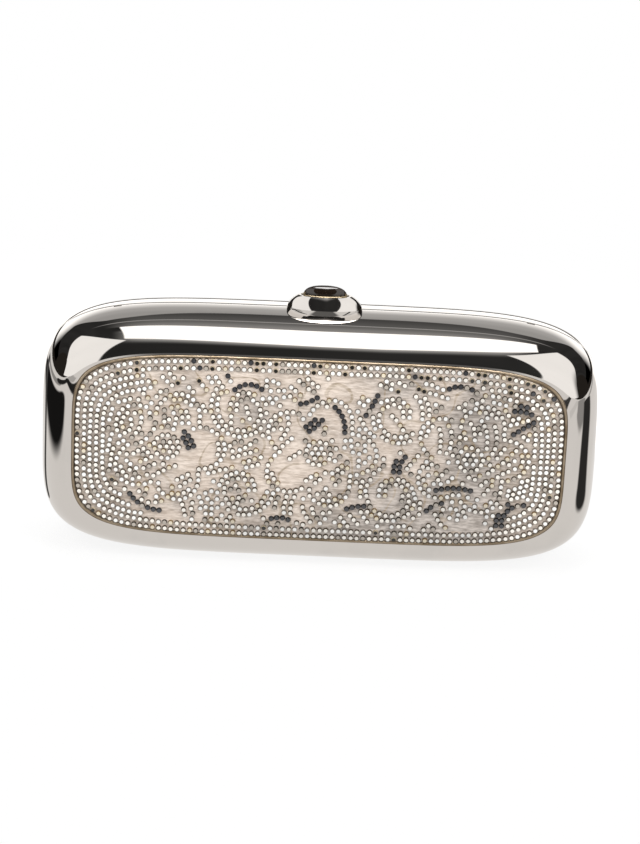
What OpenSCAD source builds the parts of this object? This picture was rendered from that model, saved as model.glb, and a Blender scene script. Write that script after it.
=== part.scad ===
// Hard evening clutch: two mirror-polished metal shells hinged along the bottom, each with a
// padded fabric panel set with crystals, and a push-button clasp on top.
// Millimetres. X runs along the clutch, the front faces -Y, Z is up, and the clutch stands on Z = 0.
// The parting plane of the shells is Y = 0. "Depth" is the distance from it, and "inset" is the
// distance inwards from the outline that the shells have there.

/* [Body] */
// Length of the clutch
body_w = 184.5; // [170:0.5:200]
// Height of the outline, before the rest face is cut
body_h = 86; // [78:0.5:94]
// Depth of one metal shell
shell_depth = 20; // [18:0.5:24]
// How square the outline is, 2 is an ellipse
outline_power = 4.8; // [4:0.1:6]
// How square the panel's outline is
panel_power = 5.2; // [4:0.1:7]
// Width of the polished frame round the panel
frame_w = 11.3; // [10:0.1:13]
// Wall of the shells
wall = 1.1; // [0.9:0.05:1.3]
// How much the rest face takes off the outline's underside
rest_cut = 0.35; // [0.2:0.05:0.45]
// Gap between the two shells at the parting line
seam = 0.3; // [0.2:0.05:0.4]

/* [Rims] */
// Width of the rim inside each shell's mouth
rim_w = 5; // [4.6:0.1:5.4]
// Thickness of the rims
rim_t = 0.9; // [0.7:0.05:1.1]
// How far the back rim's tongue reaches into the front shell
tongue = 0.9; // [0.5:0.05:1]

/* [Panels] */
// Rise of the fabric's edge over the frame
panel_rise = 0.1; // [0:0.05:0.3]
// Crown of the padded panel
crown = 1.2; // [0.6:0.1:1.6]
// Radius of the panel's rolled edge
edge_roll = 1; // [0.6:0.1:1.2]
// Thickness of the fabric
fabric_t = 0.4; // [0.3:0.05:0.5]
// Thickness of the backing plate
plate_t = 1; // [0.8:0.1:1.2]
// How far the backing plate laps behind the frame
plate_lap = 1.2; // [0.8:0.1:1.4]
// Width of the bezel wire
bezel_w = 0.6; // [0.4:0.05:0.8]
// How far the bezel stands over the frame
bezel_rise = 0.3; // [0.1:0.05:0.4]

/* [Stones] */
// Diameter of a crystal
stone_d = 1.75; // [1.6:0.05:1.8]
// Height of a crystal
stone_h = 0.7; // [0.5:0.05:0.8]
// Spacing of the crystals in a row
stone_pitch = 2.05; // [2:0.05:2.4]

/* [Lining] */
// Thickness of the tray lining
lining_t = 0.7; // [0.5:0.05:0.9]
// Inset of the lining at its mouth
lining_inset = 4; // [3.9:0.1:4.4]
// Depth at which the lining starts
lining_start = 1.6; // [1.6:0.1:2]

/* [Hinge] */
// Height of the hinge axis over the rest face
hinge_z = 2; // [1.95:0.05:2.1]
// Radius of the hinge knuckles
knuckle_r = 1.75; // [1.6:0.05:1.8]
// Radius of the hinge pin
hinge_pin_r = 0.8; // [0.7:0.05:0.9]
// Length of the hinge, as a share of the clutch's
hinge_share = 0.5637; // [0.52:0.0001:0.57]
// Number of knuckles, an odd number
knuckles = 9; // [5:2:13]
// Width of a hinge leaf from the axis
leaf_w = 6; // [5.8:0.1:6.2]
// Thickness of a hinge leaf
leaf_t = 0.8; // [0.6:0.05:0.9]
// Number of rivets in a leaf
leaf_rivets = 6; // [4:2:8]

/* [Clasp] */
// Length of the clasp's dome
dome_w = 24.9; // [23:0.1:26]
// Width of the dome, front to back
dome_d = 9.6; // [9.2:0.1:10]
// Height of the dome's full ellipse over its widest level
dome_h = 5.9; // [5.5:0.1:6.4]
// Height of the dome's widest level over the shells
dome_lift = 0.35; // [0.2:0.05:0.5]
// Height at which the dome is cut off for the button
dome_cut_h = 4.2; // [4:0.1:4.4]
// Depth of the clasp's centre in front of the parting plane
clasp_depth = 3.2; // [3.1:0.05:3.3]
// Length of the button's setting
setting_w = 15.5; // [14.5:0.1:15.8]
// Width of the button's setting
setting_d = 5.5; // [5.2:0.1:5.6]
// Height of the cabochon over the plate that it sits on
cabochon_h = 3.7; // [3:0.1:4.2]
// Travel of the button
button_travel = 1.5; // [1:0.1:1.6]
// Radius of the button's stem
stem_r = 1; // [0.9:0.05:1.1]

/* [Latch] */
// Depth of the latch lever's pivot
pivot_depth = 10; // [9.5:0.1:10.5]
// Radius of the latch pin
latch_pin_r = 0.7; // [0.6:0.05:0.8]
// Width of the lever's bar
lever_w = 3; // [2.6:0.1:3.4]
// Thickness of the lever's bar
lever_t = 1.6; // [1.4:0.1:1.8]
// Height of the hook over the bar
hook_h = 1.6; // [1.4:0.1:1.8]
// Width of the hook
hook_w = 8; // [6:0.5:9]

/* [Chain eyes] */
// Distance of the chain slots from the middle, as a share of half the length
slot_share = 0.7371; // [0.72:0.0001:0.75]
// Width of a chain slot
slot_w = 2.6; // [2:0.1:3]
// Radius of the hole in a chain eye
eye_r = 1.5; // [1.2:0.1:1.7]
// Metal round the hole of a chain eye
eye_web = 1.5; // [1.2:0.1:1.8]
// Thickness of a chain eye
eye_t = 1.2; // [1:0.1:1.5]

/* [Hidden] */
$fn = 48;

// Clearances
running_gap = 0.05;   // round a pin, a stem or a screw
seat_gap = 0.05;      // between pieces that lie on each other
glue_line = 0.03;     // between the panel's layers
plate_gap = 0.25;     // behind the frame, where its turned edge meets the backing plate
swing_gap = 0.3;      // between pieces that move past each other
overrun = 0.5;        // how far a cut runs past what it cuts

// Steps of the curves
shell_steps = 72;
panel_steps = 48;
shell_turns = 8;
lining_turns = 4;
oval_steps = 40;

// Outline
half_w = body_w / 2;
half_h = body_h / 2;
mid_z = half_h - rest_cut;
top_z = mid_z + half_h;
mouth = seam / 2;
inner_w = frame_w - wall;
inner_depth = shell_depth - wall;

// Rims: the far edge of the band meets the curved wall, which sets how far in it stands
rim_end = mouth + rim_w;
rim_out = wall + inner_w * (1 - sqrt(1 - pow(rim_end / inner_depth, 2))) + 2 * seat_gap;
rim_in = rim_out + rim_t;
rim_top = top_z - rim_in;
rim_floor = top_z - body_h + rim_in;

// Panels
plate_out = inner_depth - plate_gap;
plate_in = plate_out - plate_t;
pad_inset = frame_w + bezel_w + 3 * seat_gap;
pad_w = half_w - pad_inset;
pad_h = half_h - pad_inset;
pad_floor = plate_out + glue_line;
roll_shares = [0, 0.3, 1];
roll_drop_share = 0.6;
crown_shares = [0.85, 0.62, 0.35];

// Lining
lining_floor = plate_in - seat_gap;
lining_floor_inset = frame_w - wall;

// Hinge
hinge_len = hinge_share * body_w;
leaf_z = rim_floor + seat_gap;
knuckle_pitch = hinge_len / knuckles;
channel = knuckle_r + swing_gap;
channel_top = hinge_z + knuckle_r + swing_gap;
relief_end = half_w * pow(1 - pow((mid_z - hinge_z) / half_h, outline_power), 1 / outline_power);
relief_share = 0.9;
rivet_r = 0.5;
rivet_head_r = 0.9;
rivet_head_h = 0.4;
rivet_depth = (channel + rim_end) / 2;
rivet_low = rim_floor - rim_t + rest_cut;
rivet_span_share = 0.9;
relief = relief_share * hinge_z;

// Clasp
dome_z = top_z + dome_lift;
dome_top = dome_z + dome_cut_h;
dome_angles = [-14, 0, 12, 24, 35];
well_gap = 0.2;
well_w = setting_w + 2 * well_gap;
well_d = setting_d + 2 * well_gap;
well_web = 0.75;
well_floor = top_z + well_web;
setting_sink = 0.3;
setting_floor = dome_top - setting_sink;
setting_plate_t = 0.7;
setting_wall = 0.75;
setting_wall_h = 0.7;
cabochon_girdle_share = 0.18;
cabochon_angles = [0, 18, 36, 54, 70, 82];
prong_w = 0.8;
prong_h = 1.5;
flange_t = 0.5;
flange_r = 2 * stem_r;
spring_wire = 0.35;
spring_turns = 3;
spring_mean_r = 1.7;
screw_r = 0.7;
screw_head_r = 1.25;
screw_head_h = 0.6;
clasp_screw_x = 9.8;
clasp_screw_reach = 2;
clasp_screw_top = top_z + clasp_screw_reach;

// Latch, from the bracket's plate down
bracket_t = 0.8;
bracket_top = rim_top - seat_gap;
bracket_low = bracket_top - bracket_t;
bracket_w = 2 * (clasp_screw_x + screw_head_r + overrun);
bracket_front = inner_depth * sqrt(1 - pow(1 - (rim_in + seat_gap - wall) / inner_w, 2)) - 2 * swing_gap;
bracket_back = 1.7;
cheek_x = 4.2;
cheek_t = 0.8;
guide_r = 1.95;
guide_stand = 0.8;
guide_low = bracket_low - guide_stand;
clip_t = 0.3;
clip_r = 1.9;
clip_top = guide_low - running_gap;
stem_tail = button_travel + swing_gap;
stem_tip = clip_top - clip_t - stem_tail;
lever_top = stem_tip - 2 * running_gap;
pivot_z = lever_top - lever_t / 2;
pivot_boss_r = 1.8;
catch_t = 0.8;
catch_near = 0.4;
catch_flange = 4.6;
catch_w = 12;
catch_clear = 0.6;
catch_low = lever_top + catch_clear;
catch_screw_x = 3.6;
catch_screw_depth = 3.3;
catch_screw_r = 0.6;
catch_head_r = 1.08;
hook_near = catch_near + catch_t + swing_gap;
hook_t = 1.2;
latch_spring_wire = 0.4;
latch_spring_turns = 3;
latch_spring_r = 1.25;

// Chain eyes
slot_x = slot_share * half_w;
eye_step = 2;
eye_x = slot_x - eye_step;
eye_depth = 4.8;
eye_drop = 3.6;
eye_out = eye_r + eye_web;
eye_tab = 3 * eye_out;

// Value raised to a power with its sign kept
function spow(v, e) = sign(v) * pow(abs(v), e);

// Closed superellipse with half axes a and b
function oval(a, b, power, steps) = [for (i = [0 : steps - 1]) let (t = 360 * i / steps)
    [a * spow(cos(t), 2 / power), b * spow(sin(t), 2 / power)]];

// How square the outline is at an inset: the shell turns from its outline to the panel's
function power_at(inset) = outline_power + (panel_power - outline_power) * min(inset / frame_w, 1);

// Closed ellipse with half axes a and b
function ellipse(a, b) = oval(a, b, 2, oval_steps);

// Outline of the body at an inset
function outline(inset, steps = shell_steps) =
    oval(half_w - inset, half_h - inset, power_at(inset), steps);

// A flat loop of points set at a depth in front of the parting plane
function at_depth(loop, depth) = [for (p = loop) [p[0], -depth, p[1] + mid_z]];

// A flat loop of points laid level at a height, about the clasp's centre
function at_height(loop, z) = [for (p = loop) [p[0], p[1] - clasp_depth, z]];

// Solid through a chain of loops. A looped chain closes on itself, and an open one has flat ends
module loft(loops, looped = false) {
    steps = len(loops[0]);
    count = len(loops);
    sides = [for (j = [0 : count - (looped ? 1 : 2)], i = [0 : steps - 1])
        let (k = (j + 1) % count, n = (i + 1) % steps,
            a = j * steps + i, b = j * steps + n, c = k * steps + n, d = k * steps + i)
        each [[a, c, b], [a, d, c]]];
    ends = looped ? [] : [[for (i = [0 : steps - 1]) i],
        [for (i = [steps - 1 : -1 : 0]) (count - 1) * steps + i]];
    polyhedron(points = [for (l = loops) each l], faces = concat(sides, ends));
}

// Flat piece of an outline between two depths
module slab(inset, from, to, steps = shell_steps)
    translate([0, 0, mid_z]) rotate([90, 0, 0])
        translate([0, 0, from]) linear_extrude(to - from) polygon(outline(inset, steps));

// Straight band between two insets and two depths
module band(out, in, from, to, steps = shell_steps)
    difference() {
        slab(out, from, to, steps);
        slab(in, from - overrun, to + overrun, steps);
    }

// Box from its low corner to its high corner
module box(low, high)
    translate(low) cube(high - low);

// Section of a shell or a lining: an elliptic turn from the mouth to the frame's inner edge
function turn(start_inset, end_inset, start, end, count, i) = let (t = 90 * i / count)
    [start_inset + (end_inset - start_inset) * (1 - cos(t)), start + (end - start) * sin(t)];

function turned(section, steps) = at_depth(outline(section[0], steps), section[1]);

// What the hinge needs free at the bottom of both mouths: the knuckles' channel, and past its
// ends a relief where the lips lie below the axis and swing
module hinge_channel() {
    half = hinge_len / 2;
    box([-half - swing_gap, -channel, -overrun], [half + swing_gap, channel, channel_top]);
    box([-relief_end, -relief, -overrun], [relief_end, relief, hinge_z + seat_gap]);
}

// Chain slots, cut through the front shell's edge and the back rim's tongue
module chain_slots()
    for (side = [-1, 1])
        box([side * slot_x - slot_w / 2, -mouth - tongue, mid_z],
            [side * slot_x + slot_w / 2, mouth, top_z + overrun]);

// Drawn shell in front of the parting plane, open at its mouth and at the panel
module shell_form()
    difference() {
        loft(concat(
            [for (i = [0 : shell_turns])
                turned(turn(0, frame_w, mouth, shell_depth, shell_turns, i), shell_steps)],
            [for (i = [shell_turns : -1 : 0])
                turned(turn(wall, frame_w, mouth, inner_depth, shell_turns, i), shell_steps)]
        ), looped = true);
        box([-half_w, -shell_depth, -rest_cut - overrun], [half_w, 0, 0]);
        hinge_channel();
    }

module rim_form(from)
    difference() {
        band(rim_out, rim_in, from, rim_end);
        hinge_channel();
        half = hinge_len / 2 + swing_gap;
        box([-half, -leaf_w - swing_gap, leaf_z - seat_gap], [half, overrun, leaf_z + leaf_t + overrun]);
        leaf_rivet_places() cylinder(r = rivet_r + running_gap, h = leaf_z);
    }

// Loops of the padded panel's face, lifted by a thickness: the rolled edge, then the crown
function pad_loops(lift) = concat(
    [for (s = roll_shares) let (inset = s * edge_roll, drop = edge_roll * (1 - sqrt(1 - pow(1 - s, 2))))
        at_depth(oval(pad_w - inset, pad_h - inset, panel_power, panel_steps),
            shell_depth + panel_rise - fabric_t + lift - roll_drop_share * drop)],
    [for (s = crown_shares)
        at_depth(oval(s * (pad_w - edge_roll), s * (pad_h - edge_roll), panel_power, panel_steps),
            pad_depth(s) - fabric_t + lift)]);

// Depth of the fabric's face at a share of the way from the middle to the rolled edge
function pad_depth(share) = shell_depth + panel_rise + crown * (1 - pow(share, 3));

// Share of the way from the middle to the rolled edge at a place on the panel
function pad_share(p) = pow(pow(abs(p[0]) / (pad_w - edge_roll), panel_power)
    + pow(abs(p[1]) / (pad_h - edge_roll), panel_power), 1 / panel_power);

module plate_form()
    slab(frame_w - plate_lap, plate_in, plate_out, panel_steps);

module panel_form()
    loft(concat([at_depth(oval(pad_w, pad_h, panel_power, panel_steps), pad_floor)],
        pad_loops(0)));

module fabric_form() {
    last = len(roll_shares) + len(crown_shares) - 1;
    loft(concat([for (i = [last : -1 : 0]) pad_loops(glue_line)[i]], pad_loops(fabric_t)));
}

module bezel_form()
    band(frame_w + seat_gap, frame_w + seat_gap + bezel_w, plate_out + glue_line,
        shell_depth + bezel_rise);

// Lengths along a closed row of points, from which a spacing is read
function row_lengths(row, i = 0, sum = 0) = i == len(row) ? [sum]
    : concat([sum], row_lengths(row, i + 1, sum + norm(row[(i + 1) % len(row)] - row[i])));

// Places at an even spacing along a row
function spaced(row, pitch, closed = true) =
    let (lengths = row_lengths(row), last = closed ? len(row) : len(row) - 1,
        total = lengths[last], count = max(1, round(total / pitch)),
        xs = [for (i = [0 : last]) [lengths[i], row[i % len(row)][0]]],
        ys = [for (i = [0 : last]) [lengths[i], row[i % len(row)][1]]])
    [for (i = [0 : closed ? count - 1 : count]) let (s = total * i / count)
        [lookup(s, xs), lookup(s, ys)]];

// A flower's outline: petals as lobes of a closed curve
function flower(centre, radius, lobes) = [for (i = [0 : curve_steps - 1]) let (t = 360 * i / curve_steps,
    r = radius * (1 - petal_share + petal_share * abs(cos(lobes * t / 2))))
    centre + r * [cos(t), sin(t)]];

// A scroll: a spiral that opens from its eye
function scroll(centre, radius, hand) = [for (i = [0 : scroll_steps]) let (s = i / scroll_steps,
    t = 360 * scroll_turns * s, r = radius * (scroll_eye_share + (1 - scroll_eye_share) * s))
    centre + r * [hand * cos(t), sin(t)]];

// A row of the panel's own outline at an inset from its edge
function edge_row(inset) =
    spaced(oval(pad_w - inset, pad_h - inset, panel_power, 2 * curve_steps), stone_pitch);

// Places of the crystals: two rows round the edge, flowers with their hearts, and scrolls
curve_steps = 72;
scroll_steps = 36;
scroll_turns = 1.1;
edge_row_share = 1.1;
petals = 5;
petal_share = 0.34;
flower_share = 0.62;
flower_x_shares = [-0.62, 0, 0.62];
scroll_share = 0.3;
scroll_eye_share = 0.25;
scroll_x_shares = [-0.31, 0.31];
scroll_z_share = 0.45;
heart_r = 2 * stone_pitch;
stone_rows = concat(
    edge_row(edge_row_share * edge_roll),
    edge_row(edge_row_share * (edge_roll + stone_pitch)),
    [for (s = flower_x_shares) let (centre = [s * pad_w, 0])
        each concat([centre], spaced(flower(centre, flower_share * pad_h, petals), stone_pitch),
            spaced(flower(centre, heart_r, 0), stone_pitch))],
    [for (s = scroll_x_shares, up = [-1, 1])
        each spaced(scroll([s * pad_w, up * scroll_z_share * pad_h], scroll_share * pad_h,
            up * sign(s)), stone_pitch, closed = false)]
);

// Where two rows meet, the later crystal is left out
function clear_of_earlier(i) = len([for (j = [0 : 1 : i - 1])
    if (norm(stone_rows[j] - stone_rows[i]) < stone_d + seat_gap) 1]) == 0;

stone_table_share = 0.6;
stone_sides = 16;
stone_places = [for (i = [0 : len(stone_rows) - 1]) if (clear_of_earlier(i)) stone_rows[i]];

module stones_form()
    for (p = stone_places)
        translate([p[0], -pad_depth(min(pad_share(p), 1)) - seat_gap, mid_z + p[1]])
            rotate([90, 0, 0])
                cylinder(d1 = stone_d, d2 = stone_table_share * stone_d, h = stone_h, $fn = stone_sides);

// Tray lining, open at the mouth, with a floor on the backing plate
module lining_form()
    loft(concat(
        [for (i = [lining_turns : -1 : 0])
            turned(turn(lining_inset + lining_t, lining_floor_inset + lining_t, lining_start,
                lining_floor - lining_t, lining_turns, i), panel_steps)],
        [for (i = [0 : lining_turns])
            turned(turn(lining_inset, lining_floor_inset, lining_start, lining_floor,
                lining_turns, i), panel_steps)]));

module leaf_rivet_places()
    for (i = [0 : leaf_rivets - 1])
        translate([rivet_span_share * hinge_len * ((i + 0.5) / leaf_rivets - 0.5), -rivet_depth, 0])
            children();

// One leaf of the hinge, reaching forwards. Its own knuckles are every second one from first
module leaf_form(first) {
    half = hinge_len / 2;
    difference() {
        union() {
            difference() {
                box([-half, -leaf_w, leaf_z], [half, 0, leaf_z + leaf_t]);
                for (i = [1 - first : 2 : knuckles - 1])
                    translate([-half + i * knuckle_pitch, 0, 0])
                        box([-seat_gap, -channel, 0], [knuckle_pitch + seat_gap, overrun, channel_top]);
                leaf_rivet_places() cylinder(r = rivet_r + running_gap, h = body_h / 4);
            }
            for (i = [first : 2 : knuckles - 1])
                translate([-half + i * knuckle_pitch + seat_gap, 0, hinge_z]) rotate([0, 90, 0])
                    cylinder(r = knuckle_r, h = knuckle_pitch - 2 * seat_gap);
        }
        translate([-half - overrun, 0, hinge_z]) rotate([0, 90, 0])
            cylinder(r = hinge_pin_r + running_gap, h = hinge_len + 2 * overrun);
    }
}

module leaf_rivets_form()
    leaf_rivet_places() {
        head = leaf_z + leaf_t + glue_line;
        translate([0, 0, rivet_low]) cylinder(r = rivet_r, h = head - rivet_low);
        translate([0, 0, head]) cylinder(r = rivet_head_r, h = rivet_head_h);
    }

module to_back()
    mirror([0, 1, 0]) children();

metal = [0.62, 0.60, 0.58];
inner_metal = [0.72, 0.69, 0.64];
gold = [0.70, 0.58, 0.40];
cloth = [0.72, 0.70, 0.66];
crystal = [0.88, 0.88, 0.90];
satin = [0.22, 0.21, 0.21];
jet = [0.04, 0.04, 0.05];

module back_shell()
    color(metal) to_back() shell_form();

module back_rim()
    color(inner_metal) difference() {
        to_back() rim_form(-tongue);
        chain_slots();
        for (side = [-1, 1])
            translate([side * catch_screw_x, catch_screw_depth, bracket_low])
                cylinder(r = catch_screw_r + running_gap, h = top_z - bracket_low);
    }

module back_plate()
    color(inner_metal) to_back() plate_form();

module back_panel()
    color(cloth) to_back() panel_form();

module back_fabric()
    color(cloth) to_back() fabric_form();

module back_bezel()
    color(gold) to_back() bezel_form();

module back_stones()
    color(crystal) to_back() stones_form();

// The back tray is cut out round the catch and the chain eyes
module back_lining()
    color(satin) difference() {
        to_back() lining_form();
        cut_w = catch_w / 2 + swing_gap + overrun;
        box([-cut_w, 0, pivot_z - pivot_boss_r],
            [cut_w, catch_near + catch_flange + 2 * overrun, top_z]);
        for (side = [-1, 1])
            translate([side * eye_x, 0, 0])
                box([-eye_out, 0, top_z - eye_tab], [eye_out, eye_depth + eye_out + overrun, top_z]);
    }

module back_hinge_leaf()
    color(inner_metal) to_back() leaf_form(0);

module back_hinge_rivets()
    color(metal) to_back() leaf_rivets_form();

module hinge_pin()
    color(metal) translate([-hinge_len / 2, 0, hinge_z]) rotate([0, 90, 0])
        cylinder(r = hinge_pin_r, h = hinge_len);

// Strike for the hook: a flange under the back rim, and a lip turned down at the parting plane
module catch_plate()
    color(inner_metal) difference() {
        union() {
            box([-catch_w / 2, catch_near, bracket_low],
                [catch_w / 2, catch_near + catch_flange, bracket_top]);
            box([-catch_w / 2, catch_near, catch_low],
                [catch_w / 2, catch_near + catch_t, bracket_top]);
        }
        for (side = [-1, 1])
            translate([side * catch_screw_x, catch_screw_depth, bracket_low - overrun])
                cylinder(r = catch_screw_r + running_gap, h = bracket_t + 2 * overrun);
    }

module catch_screws()
    color(metal) for (side = [-1, 1])
        translate([side * catch_screw_x, catch_screw_depth, bracket_low - seat_gap]) {
            cylinder(r = catch_screw_r, h = bracket_t + rim_t);
            translate([0, 0, -screw_head_h]) cylinder(r = catch_head_r, h = screw_head_h);
        }

// Lug with the hole that the end of a carrying chain hooks into, seated under the back rim
module chain_eye(side)
    translate([side * eye_x, 0, 0]) intersection() {
        translate([-eye_t / 2, eye_depth, eye_height()]) rotate([90, 0, 90]) linear_extrude(eye_t)
            difference() {
                union() {
                    circle(r = eye_out);
                    translate([-eye_out, 0]) square([2 * eye_out, eye_tab]);
                }
                circle(r = eye_r);
            }
        translate([-side * eye_x, 0, 0]) to_back() slab(rim_in + seat_gap, 0, eye_depth + 2 * eye_out);
    }

// Height of the rim's inner face over an eye, less the drop to its hole
function eye_height() = mid_z - eye_drop
    + (half_h - rim_in) * pow(1 - pow(eye_x / (half_w - rim_in), outline_power), 1 / outline_power);

module chain_eye_left()
    color(metal) chain_eye(-1);

module chain_eye_right()
    color(metal) chain_eye(1);

module front_shell()
    color(metal) difference() {
        shell_form();
        chain_slots();
        translate([0, -clasp_depth, mid_z]) cylinder(r = stem_r + swing_gap, h = body_h);
        clasp_screw_places() cylinder(r = screw_r + running_gap, h = body_h);
    }

module front_rim()
    color(inner_metal) difference() {
        rim_form(mouth + tongue + swing_gap / 2);
        translate([0, -clasp_depth, mid_z]) cylinder(r = stem_r + swing_gap, h = body_h);
        clasp_screw_places() cylinder(r = screw_r + running_gap, h = body_h);
    }

module front_plate()
    color(inner_metal) plate_form();

module front_panel()
    color(cloth) panel_form();

module front_fabric()
    color(cloth) fabric_form();

module front_bezel()
    color(gold) bezel_form();

module front_stones()
    color(crystal) stones_form();

// The front tray is cut out round the latch
module front_lining()
    color(satin) difference() {
        lining_form();
        cut_w = bracket_w / 2 + overrun;
        box([-cut_w, -pivot_depth - pivot_boss_r - overrun, pivot_z - 2 * pivot_boss_r], [cut_w, 0, top_z]);
    }

module front_hinge_leaf()
    color(inner_metal) leaf_form(1);

module front_hinge_rivets()
    color(metal) leaf_rivets_form();

module clasp_screw_places()
    for (side = [-1, 1])
        translate([side * clasp_screw_x, -clasp_depth, mid_z]) children();

// Profile of what lies under the dome, in depth and height: the front shell's own section, a
// step at the parting line, and a gap over the back shell, which the dome swings away from
function saddle() = concat(
    [for (i = [shell_turns / 2 + 1 : -1 : 0])
        let (s = turn(0, frame_w, mouth, shell_depth, shell_turns, i)) [-s[1], top_z - s[0]]],
    [[-mouth, top_z + swing_gap], [dome_d, top_z + swing_gap], [dome_d, mid_z], [-shell_depth, mid_z]]);

module clasp_dome()
    color(metal) difference() {
        loft([for (t = concat(dome_angles, [asin(dome_cut_h / dome_h)]))
            at_height(ellipse(dome_w / 2 * cos(t), dome_d / 2 * cos(t)), dome_z + dome_h * sin(t))]);
        translate([0, -clasp_depth, well_floor]) linear_extrude(dome_h)
            polygon(ellipse(well_w / 2, well_d / 2));
        translate([0, -clasp_depth, mid_z]) cylinder(r = stem_r + running_gap, h = body_h);
        clasp_screw_places() cylinder(r = screw_r + running_gap, h = clasp_screw_top + running_gap - mid_z);
        translate([-dome_w, 0, 0]) rotate([90, 0, 90]) linear_extrude(2 * dome_w) polygon(saddle());
    }

module clasp_screws()
    color(metal) for (side = [-1, 1])
        translate([side * clasp_screw_x, -clasp_depth, bracket_low - seat_gap]) {
            cylinder(r = screw_r, h = clasp_screw_top - bracket_low + seat_gap);
            translate([0, 0, -screw_head_h]) cylinder(r = screw_head_r, h = screw_head_h);
        }

// Side of a cheek, in depth and height: it tapers from the plate to the eye round the pin
module cheek_profile() {
    polygon([[-bracket_front + 2 * pivot_boss_r, bracket_low + bracket_t / 2],
        [-bracket_front, bracket_low + bracket_t / 2],
        [-pivot_depth - pivot_boss_r, pivot_z], [-pivot_depth + pivot_boss_r, pivot_z]]);
    translate([-pivot_depth, pivot_z]) circle(r = pivot_boss_r);
}

// Plate under the front rim with two cheeks that carry the latch pin
module latch_bracket()
    color(inner_metal) difference() {
        union() {
            box([-bracket_w / 2, -bracket_front, bracket_low], [bracket_w / 2, -bracket_back, bracket_top]);
            for (side = [-1, 1])
                translate([side * (cheek_x + cheek_t / 2) - cheek_t / 2, 0, 0])
                    rotate([90, 0, 90]) linear_extrude(cheek_t) cheek_profile();
        }
        translate([0, -clasp_depth, bracket_low - overrun])
            cylinder(r = guide_r + running_gap, h = bracket_t + 2 * overrun);
        translate([0, 0, bracket_low - mid_z - overrun]) clasp_screw_places()
            cylinder(r = screw_r + running_gap, h = bracket_t + 2 * overrun);
        translate([-bracket_w, -pivot_depth, pivot_z]) rotate([0, 90, 0])
            cylinder(r = latch_pin_r + running_gap, h = 2 * bracket_w);
    }

module latch_pin()
    color(metal) {
        reach = cheek_x + cheek_t + overrun;
        translate([-reach, -pivot_depth, pivot_z]) rotate([0, 90, 0])
            cylinder(r = latch_pin_r, h = 2 * reach);
    }

coil_steps = 14;
leg_share = 1.5;

// Points of a coil about the X axis at a radius, from one place to another
function coil_x(radius, turns, from, length, start) = [for (i = [0 : coil_steps * turns])
    let (t = start + 360 * i / coil_steps)
    [from + length * i / (coil_steps * turns), radius * cos(t), radius * sin(t)]];

// Points of a coil about the Z axis, closed at both ends
function coil_z(radius, turns, length, wire) = [for (i = [0 : coil_steps * turns])
    let (t = 360 * i / coil_steps, s = i / (coil_steps * turns))
    [radius * cos(t), radius * sin(t), wire / 2 + (length - wire) * s]];

// Unbroken wire of six sides along a row of points
module wire(points, d) {
    last = len(points) - 1;
    function way(i) = let (v = points[min(i + 1, last)] - points[max(i - 1, 0)]) v / norm(v);
    function side_of(w) = let (v = cross(w, abs(w[0]) > 0.8 ? [0, 0, 1] : [1, 0, 0])) v / norm(v);
    loft([for (i = [0 : last]) let (w = way(i), u = side_of(w), v = cross(w, u))
        [for (k = [0 : 5]) points[i] + d / 2 * (cos(60 * k) * u + sin(60 * k) * v)]]);
}

// Torsion spring on the latch pin: one leg under the bracket's plate, one under the lever
module latch_spring()
    color(metal) translate([0, -pivot_depth, pivot_z])
        wire(concat(
            [[lever_w / 2 + latch_spring_wire, -latch_spring_r, 2 * leg_share * latch_spring_r],
                [lever_w / 2 + latch_spring_wire, -latch_spring_r, leg_share * latch_spring_r]],
            coil_x(latch_spring_r, latch_spring_turns, lever_w / 2 + latch_spring_wire,
                cheek_x - lever_w / 2 - 2 * latch_spring_wire, 180),
            [[cheek_x - latch_spring_wire, -latch_spring_r, -leg_share * latch_spring_r]]),
            latch_spring_wire);

module button_guide()
    color(gold) translate([0, -clasp_depth, guide_low]) difference() {
        cylinder(r = guide_r, h = bracket_top - guide_low);
        translate([0, 0, -overrun]) cylinder(r = stem_r + running_gap, h = body_h / 8);
    }

module button_spring()
    color(metal) translate([0, -clasp_depth, well_floor])
        wire(coil_z(spring_mean_r, spring_turns, setting_floor - flange_t - well_floor, spring_wire),
            spring_wire);

// Oval black stone, the face of the button
module cabochon()
    color(jet) {
        a = setting_w / 2 - setting_wall - running_gap;
        b = setting_d / 2 - setting_wall - running_gap;
        low = setting_floor + setting_plate_t + glue_line;
        loft(concat([at_height(ellipse(a, b), low)],
            [for (t = cabochon_angles) at_height(ellipse(a * cos(t), b * cos(t)),
                low + cabochon_h * (cabochon_girdle_share + (1 - cabochon_girdle_share) * sin(t)))]));
    }

// Oval cup round the cabochon, with a pair of prongs at each end
module cabochon_setting()
    color(gold) {
        a = setting_w / 2;
        b = setting_d / 2;
        translate([0, -clasp_depth, setting_floor]) {
            linear_extrude(setting_plate_t) polygon(ellipse(a, b));
            difference() {
                linear_extrude(setting_plate_t + setting_wall_h) polygon(ellipse(a, b));
                linear_extrude(setting_plate_t + setting_wall_h + overrun)
                    polygon(ellipse(a - setting_wall, b - setting_wall));
            }
            for (side = [-1, 1])
                translate([side * (a - setting_wall / 2), 0, 0])
                    box([-setting_wall / 2, -prong_w / 2, 0],
                        [setting_wall / 2, prong_w / 2, setting_plate_t + prong_h]);
        }
    }

// Stem with a flange for the spring and a round tip that pushes on the lever
module button_stem()
    color(metal) translate([0, -clasp_depth, 0]) {
        translate([0, 0, stem_tip + stem_r]) {
            cylinder(r = stem_r, h = setting_floor - seat_gap / 2 - stem_tip - stem_r);
            sphere(r = stem_r);
        }
        translate([0, 0, setting_floor - flange_t])
            cylinder(r = flange_r, h = flange_t - seat_gap / 2);
    }

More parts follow.
